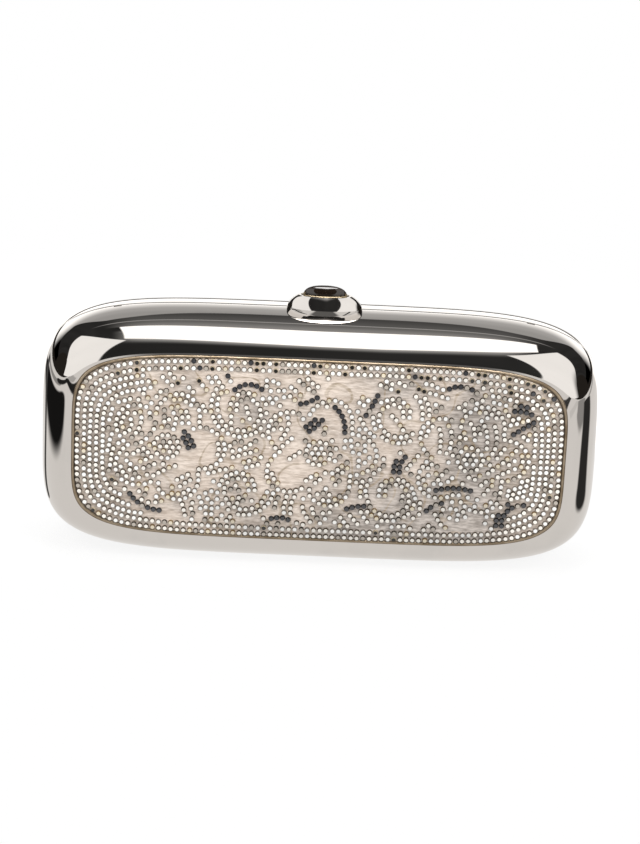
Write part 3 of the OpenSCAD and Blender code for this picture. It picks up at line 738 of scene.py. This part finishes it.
tones = {  # the table's colour, and the painted shade on the facets round it, which is a painted glint on night stones
    "clear": ((1.0, 0.95, 0.87), (0.075, 0.055, 0.036)),
    "white": ((1.0, 0.985, 0.95), (0.20, 0.175, 0.15)),
    "champagne": ((0.80, 0.71, 0.55), (0.20, 0.13, 0.06)),
    "smoke": ((0.50, 0.45, 0.39), (0.05, 0.04, 0.03)),
    "charcoal": ((0.055, 0.055, 0.06), (0.012, 0.012, 0.013)),
    "night": ((0.02, 0.018, 0.016), (0.50, 0.42, 0.30)),
}
toneShares = {  # of the tones above, for each kind of place
    "edge": (0.52, 0.30, 0.06, 0.10, 0, 0.02),
    "high": (0.42, 0.20, 0.05, 0.08, 0.05, 0.20),
    "end": (0.34, 0.60, 0.02, 0.03, 0, 0.01),
    "patch": (0.15, 0.85, 0, 0, 0, 0),
    "petal": (0.52, 0.32, 0.10, 0.06, 0, 0),
    "heart": (0.56, 0.20, 0.14, 0.10, 0, 0),
    "scroll": (0.55, 0.26, 0.12, 0.07, 0, 0),
    "sweep": (0.60, 0.18, 0.09, 0.13, 0, 0),
    "fill": (0.54, 0.16, 0.09, 0.19, 0.02, 0),
    "dash": (0, 0, 0, 0.08, 0.92, 0),
}


stoneSizes = {
    "Width": stones["width"] * mm,
    "Height": stones["height"] * mm,
    "Table share": stones["table"],
    "Sides": stones["sides"],
}


def stoneRule():
    *numbers, sides = stoneSizes
    rule, plan, given = newRule("set crystals", numbers, sides)
    width, high, table = map(given.out, numbers)
    radius = width / 2
    sizes = {
        "Vertices": given.out(sides),
        "Side Segments": 3,
        "Radius Top": radius * table,
        "Radius Bottom": radius,
        "Depth": high,
    }
    cone = plan.node("GeometryNodeMeshCone", sizes, fill_type="NGON")
    x, y, z = axes(plan, plan.node("GeometryNodeInputPosition"))
    # the side's rings become a girdle, a broken edge and a crown
    level = (z / high * 3).sum("ROUND")
    first, second = level.sum("COMPARE", 1, 0.1), level.sum("COMPARE", 2, 0.1)
    taper = (1 - table) / 3
    wide = 1 + first * (1 / (1 - taper) - 1) + second * (0.93 / (1 - taper * 2) - 1)
    tall = z + high * (first * (0.25 - 1 / 3) + second * (0.62 - 2 / 3))
    spot = plan.node("ShaderNodeCombineXYZ", [x * wide, y * wide, tall])
    shape = plan.node("GeometryNodeSetPosition", {"Geometry": cone, "Position": spot})
    shape = plan.node(
        "GeometryNodeStoreNamedAttribute",
        {"Geometry": shape, "Name": "crown", "Value": cone.out("Side")},
        data_type="FLOAT",
        domain="FACE",
    )
    facing, spin, size = (
        plan.node("GeometryNodeInputNamedAttribute", {"Name": label}, data_type=kind)
        for label, kind in (("facing", "FLOAT_VECTOR"), ("spin", "FLOAT"), ("size", "FLOAT"))
    )
    turn = plan.node("FunctionNodeAlignRotationToVector", {"Vector": facing}, axis="Z")
    about = plan.node("FunctionNodeAxisAngleToRotation", {"Axis": (0, 0, 1), "Angle": spin})
    turning = {"Rotation": turn, "Rotate By": about}
    turn = plan.node("FunctionNodeRotateRotation", turning, rotation_space="LOCAL")
    placing = {"Points": given.out("Geometry"), "Instance": shape, "Rotation": turn, "Scale": size}
    placed = plan.node("GeometryNodeInstanceOnPoints", placing)
    endRule(plan, given, plan.node("GeometryNodeRealizeInstances", {"Geometry": placed}))
    return rule


setCrystals = stoneRule()


def slope(x, z, dx, dz):  # of the padded face
    ahead, behind = (padDepth(min(padShare(x + s * dx, z + s * dz), 1)) for s in (1, -1))
    return (ahead - behind) / (2 * (dx + dz))


def setStones(name, side, places, draw):
    spots, facing, tint, rim, spin, size = [], [], [], [], [], []
    step = 0.02
    for (x, z), kind in places:
        tiltX, tiltZ = draw.gauss(0, 0.035), draw.gauss(0, 0.035)
        normal = Vector((tiltX - slope(x, z, step, 0), -side, tiltZ - slope(x, z, 0, step)))
        facing.extend(normal.normalized())
        level = padDepth(min(padShare(x, z), 1)) - stones["sunk"]
        loose = 0.03 if kind in ("edge", "petal", "dash") else 0.085
        spots.append((x + draw.gauss(0, loose), -side * level, z + middle + draw.gauss(0, loose)))
        spin.append(draw.uniform(0, tau))
        size.append(draw.uniform(1.0, 1.045) * (1.05 if kind == "dash" else 1))
        high = kind in ("edge", "sweep", "petal") and z > 0.7 * padHalfHeight
        shares = toneShares["high" if high else kind]
        table, rimShadingTone = tones[draw.choices(list(tones), shares)[0]]
        ends = abs(x) > 0.74 * padHalfLength
        light = draw.uniform(0.97 if ends else 0.88, 1.04) * (1 - 0.24 * greyness(x, z))
        tint += [*(min(c * light, 1) for c in table), 1.0]
        # the crown's painted shade, which is a painted glint on night stones
        rim += [*(c * light for c in rimShadingTone), 1.0]
    piece = addMesh(name, spots, [])
    for label, kind, key, values in (
        ("facing", "FLOAT_VECTOR", "vector", facing),
        ("tint", "FLOAT_COLOR", "color", tint),
        ("rim", "FLOAT_COLOR", "color", rim),
        ("spin", "FLOAT", "value", spin),
        ("size", "FLOAT", "value", size),
    ):
        piece.data.attributes.new(label, kind, "POINT").data.foreach_set(key, values)
    return follow(piece, setCrystals, {**stoneSizes, "Material": crystal})


for half, (bodyName, side) in fronts.items():
    draw = random.Random(stones["seed"])
    field = Field(cell=2.2)
    addRows(field)
    addDashes(field, draw)
    addPatches(field, draw)
    addInnerRows(field)
    addLattice(field)
    addLoose(field, draw)
    piece = setStones(half + "Crystals", side, field.places, draw)
    dress(piece, bodyName, crystal, half + "_stones", None)
    print(half, "crystals:", len(field.places))


# clasp: dome, setting, stone and spring
clasp = {
    "depth": 3.2, "length": 24.9, "width": 9.6, "high": 7.16, "lift": 0.35, "over": 0.3, "cut": 5.1,
    "bore": 1.05, "seat": 4.2, "settingLength": 15.5, "settingWidth": 5.5, "settingPlay": 0.2,
    "sink": 0.3, "plate": 0.7, "wall": 0.75, "wallHigh": 0.7, "stoneHigh": 3.7, "girdle": 0.18,
    "fullness": 0.84, "wellFloor": 0.75, "flange": 0.5, "stroke": 1.5,
}
prong = {"aside": 0.75, "foot": 0.2, "rise": 1.35, "lean": 0.46, "thick": 0.36, "thin": 0.22}
spring = {"radius": 1.7, "wire": 0.35, "turns": 3, "steps": 108, "sides": 12}
domeLevel = topLevel + clasp["lift"]
domeTop = domeLevel + clasp["cut"]
settingFloor = domeLevel + clasp["seat"] - clasp["sink"]
soft = 0.1  # small broken edges of setting and stone


def oval(a, b, z, count=96):
    turns = [tau * i / count for i in range(count)]
    return [(a * cos(t), b * sin(t) - clasp["depth"], z) for t in turns]


def stacked(loops, pole=False):
    count = len(loops[0])
    points = [p for loop in loops for p in loop]
    faces = []
    for k in range(len(loops) - 1):
        for i in range(count):
            n = (i + 1) % count
            faces.append((k * count + i, k * count + n, (k + 1) * count + n, (k + 1) * count + i))
    faces.append(tuple(range(count))[::-1])
    last = (len(loops) - 1) * count
    if pole:
        points.append(pole)
        faces += [(last + i, last + (i + 1) % count, len(points) - 1) for i in range(count)]
    else:
        faces.append(tuple(range(last, last + count)))
    return points, faces


def makeDome():
    low, top = radians(-14), asin(clasp["cut"] / clasp["high"])
    turns = [low + (top - low) * i / 28 for i in range(29)]
    a, b = clasp["length"] / 2, clasp["width"] / 2
    loops = [oval(a * cos(t), b * cos(t), domeLevel + clasp["high"] * sin(t)) for t in turns]
    dome = addMesh("claspDomePolished", *stacked(loops))
    settle(dome)
    a, b = (clasp[size] / 2 + clasp["settingPlay"] for size in ("settingLength", "settingWidth"))
    high, bore = domeTop + 2 * past, clasp["bore"]
    well = stacked([oval(a, b, z) for z in (topLevel + clasp["wellFloor"], high)])
    hole = stacked([oval(bore, bore, z, 32) for z in (middle, high)])
    # the dome sits on the front shell and clears the back one
    above, wide = topLevel + clasp["over"], clasp["width"]
    section = [(-deep, topLevel - inset) for inset, deep, _ in outerCurve[:24]][::-1]
    section += [(-body["mouth"], above), (wide, above), (wide, middle), (-body["depth"], middle)]
    saddle = stacked([[(x, y, z) for y, z in section] for x in (-clasp["length"], clasp["length"])])
    cutAway(dome, [well, hole, saddle])
    dress(dome, "lid", polished, "clasp_dome", 30)


def makeSetting():
    a, b, wall = clasp["settingLength"] / 2, clasp["settingWidth"] / 2, clasp["wall"]
    inner = settingFloor + clasp["plate"]
    high, bend = inner + clasp["wallHigh"], 0.35
    loops = [oval(a - soft, b - soft, settingFloor), oval(a, b, settingFloor + soft), oval(a, b, high - bend)]
    for i in range(1, 7):  # rounded rim
        t = pi / 2 * i / 6
        inwards = bend * (1 - cos(t))
        loops.append(oval(a - inwards, b - inwards, high - bend + bend * sin(t)))
    loops += [oval(a - wall, b - wall, z) for z in (high - 0.12, inner)]
    setting = addMesh("buttonSetting", *stacked(loops))
    shape = bmesh.new()
    shape.from_mesh(setting.data)
    reach = (a - wall / 2) * sqrt(1 - (prong["aside"] / (b - wall / 2)) ** 2)
    for s, hand in product((-1, 1), repeat=2):  # four prongs lean over the stone
        foot = Vector((s * reach, hand * prong["aside"] - clasp["depth"], inner + prong["foot"]))
        tip = foot + Vector((-s * prong["lean"], 0, prong["rise"]))
        made = bmesh.ops.create_cone(
            shape,
            cap_ends=True,
            segments=12,
            radius1=prong["thick"],
            radius2=prong["thin"],
            depth=(tip - foot).length,
        )
        turn = Vector((0, 0, 1)).rotation_difference(tip - foot).to_matrix().to_4x4()
        place = Matrix.Diagonal((mm, mm, mm, 1)) @ Matrix.Translation((foot + tip) / 2) @ turn
        bmesh.ops.transform(shape, matrix=place, verts=made["verts"])
    shape.to_mesh(setting.data)
    shape.free()
    settle(setting)
    dress(setting, "button", settingGold, "cabochon_setting")


def makeStone():
    a, b = (clasp[size] / 2 - clasp["wall"] - 0.05 for size in ("settingLength", "settingWidth"))
    low = settingFloor + clasp["plate"] + 0.03
    high, girdle, full = clasp["stoneHigh"], clasp["girdle"], clasp["fullness"]
    loops = [oval(a - soft, b - soft, low), oval(a, b, low + soft)]
    for i in range(30):  # flatter on top than an ellipse
        t = radians(3.0 * i)
        out, up = signedPower(cos(t), full), signedPower(sin(t), full)
        loops.append(oval(a * out, b * out, low + high * (girdle + (1 - girdle) * up)))
    stone = addMesh("buttonCabochon", *stacked(loops, (0, -clasp["depth"], low + high)))
    settle(stone)
    dress(stone, "button", jet, "cabochon", 60)


def makeSpring():  # a coil of round wire from the well's floor up to under the button's setting
    low, high = topLevel + clasp["wellFloor"], settingFloor - clasp["flange"]
    wire, count = spring["wire"] / 2, spring["steps"]
    loops = []
    for i in range(count + 1):
        t = tau * spring["turns"] * i / count
        z = low + wire + (high - low - 2 * wire) * i / count
        section = []
        for k in range(spring["sides"]):
            a = tau * k / spring["sides"]
            reach = spring["radius"] + wire * cos(a)
            section.append((reach * cos(t), reach * sin(t) - clasp["depth"], z + wire * sin(a)))
        loops.append(section)
    coil = addMesh("buttonSpring", *stacked(loops))
    settle(coil)
    dress(coil, "lid", steel, "button_spring")
    keep = 1 - clasp["stroke"] / (high - low)
    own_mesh(coil)


makeDome()
makeSetting()
makeStone()
makeSpring()
print("clasp ready")


# linings of both trays; the cut sizes are the tray's floor and wall laid out flat
lining = {
    "inset": 4, "floorInset": 10.2, "start": 1.6, "floor": 17.6, "cloth": 0.7, "cutLength": 200,
    "cutHeight": 102, "cutArea": 17900,
}
liningCuts = {  # round the latch, the catch plate and the chain eyes
    "front": [((-24.2, -12.3, 74.86), (24.2, 0, 90))],
    "back": [
        ((-6.8, -0.1, 76.66), (6.8, 6.0, 90)),
        ((-69, -0.1, 76.65), (-63, 8.3, 90)),
        ((63, -0.1, 76.65), (69, 8.3, 90)),
    ],
}


def liningProfile():
    inset, start, floor, thick = lining["floorInset"], lining["start"], lining["floor"], lining["cloth"]
    outer = quarter(lining["inset"], inset, start, floor, 20)
    inner = quarter(lining["inset"] + thick, inset + thick, start, floor - thick, 20)
    shares = [0.9, 0.6, 0.3, 0]
    innerFloor = [(inset + thick, floor - thick, s) for s in shares]
    outerFloor = [(inset, floor, s) for s in shares]
    return innerFloor[::-1] + inner[::-1] + outer + outerFloor


for half, (bodyName, side) in fronts.items():
    tray = turned(half + "TrayLining", liningProfile(), side, liningSatin, 360)
    cutAway(tray, [boxPoints(low, high) for low, high in liningCuts[half]])
    dress(tray, bodyName, liningSatin, half + "_lining", 50)
print("linings ready")


# the frame's own nodes
nodeFinishes = {
    innerMetal: "back_rim front_rim back_plate front_plate back_hinge_leaf front_hinge_leaf"
    " catch_plate latch_bracket latch_lever",
    steel: "back_hinge_rivets front_hinge_rivets hinge_pin catch_screws clasp_screws"
    " chain_eye_left chain_eye_right latch_pin latch_spring button_stem stem_clip",
    brass: "button_guide",
    board: "back_panel front_panel",
}
for material, names in nodeFinishes.items():
    for name in names.split():
        nodes[name].data.materials.clear()
        nodes[name].data.materials.append(material)


# stage: floor, what the metal mirrors, lamps, world and camera
tent = {"radius": 0.6, "length": 3.2, "start": -8, "sweep": 188, "steps": 96, "axis": (-0.01, 0.085)}
lamps = {  # place, size and power
    "keyLamp": ((-0.5, -0.7, 0.9), 0.5, 5.0),
    "fillLamp": ((0.6, -0.6, 0.7), 0.5, 5.6),
    "topLamp": ((0, 0.1, 1.0), 0.6, 4.0),
}
view = {"distance": 1.0, "elevation": 20.7, "roll": 2.48, "focal": 127.75, "aim": (0.0001, 0.0009, 0.0451)}


def addStage(name, points, faces, build, onlyMirrored=True):
    made = addMesh(name, points, faces, 1)
    made.data.materials.append(newFinish(name, build))
    if onlyMirrored:
        made.visible_camera = made.visible_diffuse = made.visible_shadow = False
        made.visible_transmission = made.visible_volume_scatter = False


def flat(low, high, level):
    (left, near), (right, far) = low, high
    points = [(left, near, level), (right, near, level), (right, far, level), (left, far, level)]
    return points, [(0, 1, 2, 3)]


def glow(plan, level, tone=(1, 0.985, 0.965)):
    colour = plan.node("ShaderNodeCombineColor", [level * c for c in tone])
    return plan.node("ShaderNodeEmission", {"Color": colour, "Strength": 1})


def tentFinish(plan, place):  # the studio that the metal mirrors: millimetres across and degrees round
    x, y, z = axes(plan, place)
    x = x * 1000
    wide, left, right = abs(x), (-x).sum("MAXIMUM", 0), x.sum("MAXIMUM", 0)
    deep, high = tent["axis"]
    angle = (z - high).sum("ARCTAN2", deep - y) * (180 / pi)  # from the front, upwards
    ease = plan.ease
    # the dark room in front narrows downwards and upwards, and two lit panels stand beside it
    leftEdge = ((angle - 33) ** 2 * 0.05 - 258).sum("MINIMUM", -225 - (angle - 62) * 6.9)
    lower = angle < 60
    rightEdge = (250 - (angle - 28) ** 2 * 0.068).sum("MAXIMUM", 0) * lower
    rightEdge = rightEdge + (176 + (angle - 60) * 5.4) * (1 - lower)
    low = 111 - (wide - 550).sum("MAXIMUM", 0) ** 2 * 0.00005
    panels = ease(leftEdge - x, -8, 8) + ease(x - rightEdge, -8, 8) * ease(x, 900, 1700, 1, 0.4)
    panels = (panels * ease(low - angle, -1.5, 2)).sum("MINIMUM", 1)
    cloudy = plan.noise(place, 2.2, 3, 0.5, (0.6, 1, 1))
    # the lamp's box overhead: an arch above, slanting ends, and grey round its lower edge
    arch = (49 + left * 0.083).sum("MAXIMUM", 44 + x * 0.152)
    foot = 100 + left * 0.022 + right * 0.038
    slant = (angle - 68) * 0.4
    topBox = ease(x, -236 - slant, -226 - slant) * ease(x + (angle - 92) * 1.6, 318, 308)
    topBox = topBox * ease(angle - arch, -2.5, 2.5) * ease(angle - foot, 1.2, -1.2)
    core = ease(angle - arch, 5, 12) * ease(angle - foot, -4, -10) * ease(x, -200, -165) * ease(x, 250, 215)
    spill = ease(angle - arch, -24, 0) ** 2 * 0.4 * ease(wide, 300, 150) * ease(angle, 98, 90)
    # behind it the wall is grey with a brighter strip, and a light sweep lies below a wavy line
    past = ease(angle, 117.6, 119.2)
    behind = ease(angle, 103, 117, 0.29, 0.14) * (1 - past) + ease(angle, 119, 136, 0.10, 0.045) * past
    behind = behind * ease(wide, 330, 130)
    strip = ease(angle, 116.5, 117.5) * ease(angle, 119.1, 118.1) * ease(wide, 420, 260) * 0.3
    wavy = 136 - 8 * ease(wide, 30, 210) + 22 * ease(wide, 260, 480) + 9 * ease(wide, 480, 720)
    sweep = (ease(angle, 136, 146, 0.42, 0.5) + ease(angle, 146, 168, 0, 1.05)) * ease(wide, 760, 380)
    dark = 0.012 + plan.noise(place, 6, 2, 0.5, (1, 0.2, 0.2)) * 0.03
    level = dark + (behind + strip) * ease(angle - foot, -1.2, 1.2) * (1 - panels) + spill * (1 - panels)
    level = blend(level, panels * (1.12 + cloudy * 0.12), panels)
    level = blend(level, 1.9 + core * 11, topBox)
    level = blend(level, sweep, ease(angle - wavy, -0.7, 0.7))
    return glow(plan, level)


# the floor as the metal sees it: both ends of a soft band in millimetres, its half widths there and its level
floorZones = (
    ((-400, 320), (-420, -60), 50, 60, 0.32),
    ((-238, -80), (-252, 170), 58, 72, 0.01),
    ((-470, -70), (-450, -300), 80, 95, 0.02),
    ((-95, -190), (-560, -385), 12, 56, 0.02),
    ((-170, -270), (-560, -560), 14, 110, 0.5),
    ((0, -235), (0, -700), 74, 130, 0.14),
    ((98, -193), (420, -520), 8, 34, 0.05),
    ((150, -190), (560, -280), 12, 60, 0.72),
    ((290, -80), (600, -110), 66, 150, 0.32),
    ((158, 2), (430, 62), 30, 84, 0.03),
    ((-108, 22), (-380, 340), 5, 32, 0.08),
    ((-90, 150), (-310, 620), 34, 130, 1.5),
    ((100, 130), (390, 600), 34, 150, 1.5),
    ((500, 180), (640, 560), 50, 70, 0.4),
)


def floorSeenFinish(plan, place):
    x, y, _ = axes(plan, place)
    x, y = x * 1000, y * 1000
    level = 0.8 + plan.noise(place, 9, 3) * 0.08
    for (ax, ay), (bx, by), near, far, value in floorZones:
        dx, dy = bx - ax, by - ay
        share = (((x - ax) * dx + (y - ay) * dy) / (dx * dx + dy * dy)).sum("MAXIMUM", 0).sum("MINIMUM", 1)
        away = ((x - ax - share * dx) ** 2 + (y - ay - share * dy) ** 2) ** 0.5
        reach = near + (far - near) * share
        level = blend(level, value, plan.ease((reach - away) / reach, -0.2, 0.2))
    below = plan.node("ShaderNodeNewGeometry").out("Backfacing")
    clear = plan.node("ShaderNodeBsdfTransparent")
    return plan.node("ShaderNodeMixShader", [below, glow(plan, level, (1, 0.975, 0.945)), clear])


def floorFinish(plan, place):  # mostly clear, so that an opened lid shows where it swings below
    x, y, _ = axes(plan, place)
    matte = plan.node("ShaderNodeBsdfDiffuse", {"Color": (0.95, 0.945, 0.94, 1)})
    clear = plan.node("ShaderNodeBsdfTransparent")
    faint = 0.86  # clear share where the shadow lies
    front = plan.ease(y, -0.04, -0.018, 0.995, faint)
    share = front.sum("MAXIMUM", plan.ease((x * x + y * y) ** 0.5, 0.16, 0.36, faint, 1))
    return plan.node("ShaderNodeMixShader", [share, matte, clear])


def makeStage():
    addStage("floor", *flat((-6, -6), (6, 6), 0), floorFinish, False)
    steps, half, r = tent["steps"], tent["length"] / 2, tent["radius"]
    deep, high = tent["axis"]
    turns = [radians(tent["start"] + tent["sweep"] * i / steps) for i in range(steps + 1)]
    points = [(x, deep - r * cos(t), high + r * sin(t)) for t in turns for x in (-half, half)]
    faces = [(2 * i, 2 * i + 1, 2 * i + 3, 2 * i + 2) for i in range(steps)]
    addStage("tent", points, faces, tentFinish)
    addStage("floorSeen", *flat((-0.8, -0.8), (0.8, 0.75), 0.0003), floorSeenFinish)
    for name, (centre, size, watts) in lamps.items():
        lamp = bpy.data.lights.new(name, "AREA")
        lamp.size, lamp.energy = size, watts
        made = addObject(name, lamp)
        made.location = centre
        made.rotation_euler = (Vector((0, 0, 0.04)) - Vector(centre)).to_track_quat("-Z", "Y").to_euler()
        made.visible_glossy = False


def makeWorld():  # grey light for matte surfaces, dark in the metal, white behind
    world = bpy.data.worlds.new("studio")
    bpy.context.scene.world = world
    world.use_nodes = True
    world.node_tree.nodes.clear()
    plan = Plan(world.node_tree)
    path = plan.node("ShaderNodeLightPath")
    room, dark, white = (
        plan.node("ShaderNodeBackground", {"Color": (*colour, 1), "Strength": 1})
        for colour in ((0.62, 0.62, 0.62), (0.022, 0.019, 0.016), (1, 1, 1))
    )
    mixed = plan.node("ShaderNodeMixShader", [path.out("Is Glossy Ray"), room, dark])
    mixed = plan.node("ShaderNodeMixShader", [path.out("Is Camera Ray"), mixed, white])
    plan.node("ShaderNodeOutputWorld", {"Surface": mixed})


def makeCamera():
    lens = bpy.data.cameras.new("camera")
    lens.lens, lens.sensor_width = view["focal"], 36
    camera = addObject("camera", lens)
    aim = Vector(view["aim"])
    up = radians(view["elevation"])
    camera.location = aim + view["distance"] * Vector((0, -cos(up), sin(up)))
    look = (aim - camera.location).to_track_quat("-Z", "Y").to_matrix().to_4x4()
    roll = Matrix.Rotation(radians(view["roll"]), 4, "Z")
    camera.matrix_world = Matrix.Translation(camera.location) @ look @ roll
    bpy.context.scene.camera = camera


makeStage()
makeWorld()
makeCamera()
bpy.context.scene.view_settings.view_transform = "Standard"
print("stage ready")
